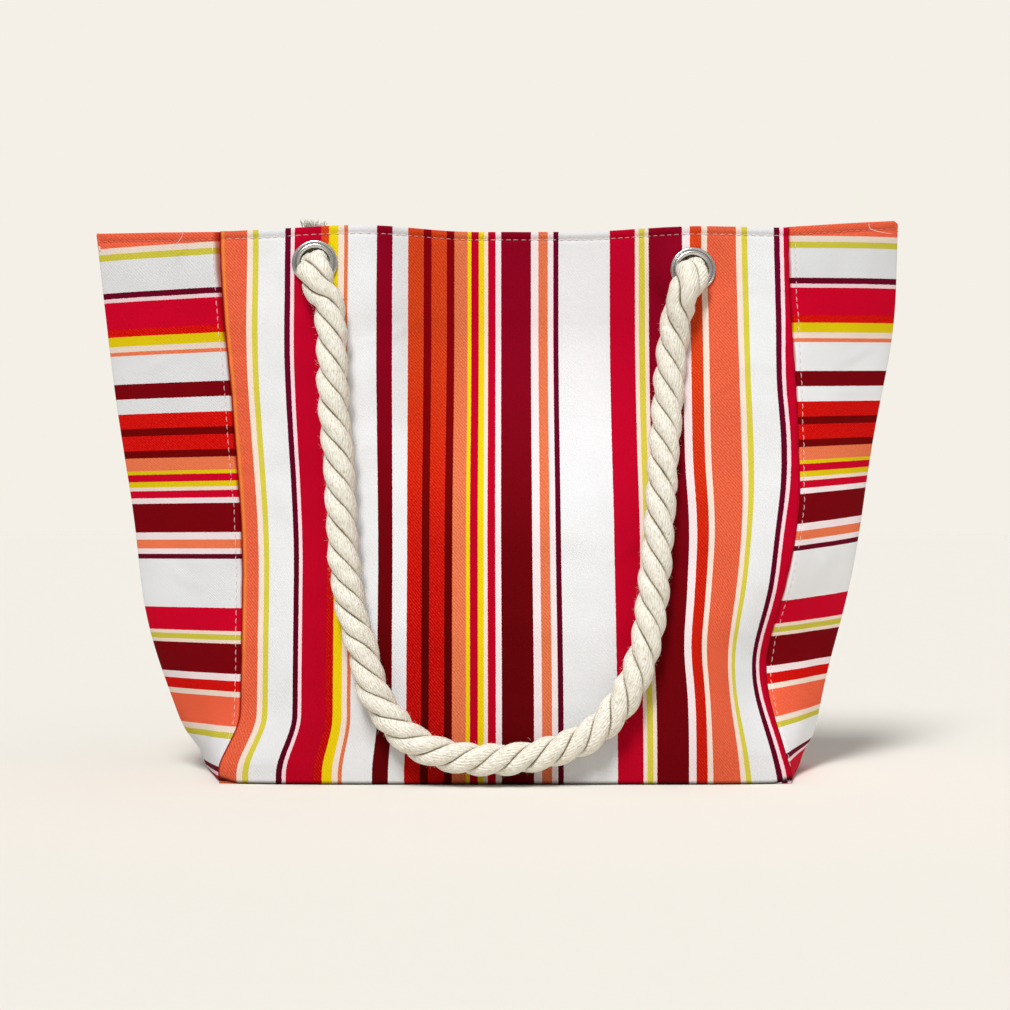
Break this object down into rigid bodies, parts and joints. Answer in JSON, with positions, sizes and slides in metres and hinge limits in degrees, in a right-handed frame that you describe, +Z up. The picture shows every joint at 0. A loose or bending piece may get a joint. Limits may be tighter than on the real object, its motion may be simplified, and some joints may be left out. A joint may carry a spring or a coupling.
{
  "type": "beach tote bag",
  "caption": "Striped canvas beach tote with splayed side gussets, flat stiffened base, metal eyelets and thick knotted rope handles.",
  "frame": {"origin": "middle of the bottom face, on the ground", "axes": "+Z up, +X towards the viewer's right, front face with the front handle towards -Y"},
  "size_m": [0.55, 0.2192, 0.3771],
  "materials": {
    "striped_canvas": "printed twill canvas, upright stripes",
    "gusset_canvas": "printed twill canvas, stripes turned across",
    "lining_cloth": "plain woven lining",
    "board": "matte stiff board",
    "eyelet_metal": "polished nickel",
    "snap_metal": "satin nickel",
    "cotton_rope": "laid natural cotton rope"
  },
  "bodies": {
    "bag": {"front_panel": "striped_canvas", "back_panel": "striped_canvas", "left_gusset": "gusset_canvas", "right_gusset": "gusset_canvas", "base_panel": "striped_canvas", "front_lining": "lining_cloth", "back_lining": "lining_cloth", "left_lining": "lining_cloth", "right_lining": "lining_cloth", "base_lining": "lining_cloth", "base_board": "board", "front_left_eyelet": "eyelet_metal", "front_right_eyelet": "eyelet_metal", "back_left_eyelet": "eyelet_metal", "back_right_eyelet": "eyelet_metal", "front_left_washer": "eyelet_metal", "front_right_washer": "eyelet_metal", "back_left_washer": "eyelet_metal", "back_right_washer": "eyelet_metal", "snap_socket": "snap_metal", "snap_stud": "snap_metal", "snap_socket_plate": "snap_metal", "snap_stud_plate": "snap_metal", "front_left_knot": "cotton_rope", "front_right_knot": "cotton_rope", "back_left_knot": "cotton_rope", "back_right_knot": "cotton_rope"},
    "front_handle": {"front_rope": "cotton_rope"},
    "back_handle": {"back_rope": "cotton_rope"}
  },
  "joints": [
    {"name": "front_handle_swing", "type": "hinge", "parent": "bag", "child": "front_handle", "pos_m": [0, -0.06, 0.342], "axis": [-1, 0, 0], "range_deg": [0, 176]},
    {"name": "back_handle_swing", "type": "hinge", "parent": "bag", "child": "back_handle", "pos_m": [0, 0.06, 0.342], "axis": [1, 0, 0], "range_deg": [0, 176]}
  ]
}
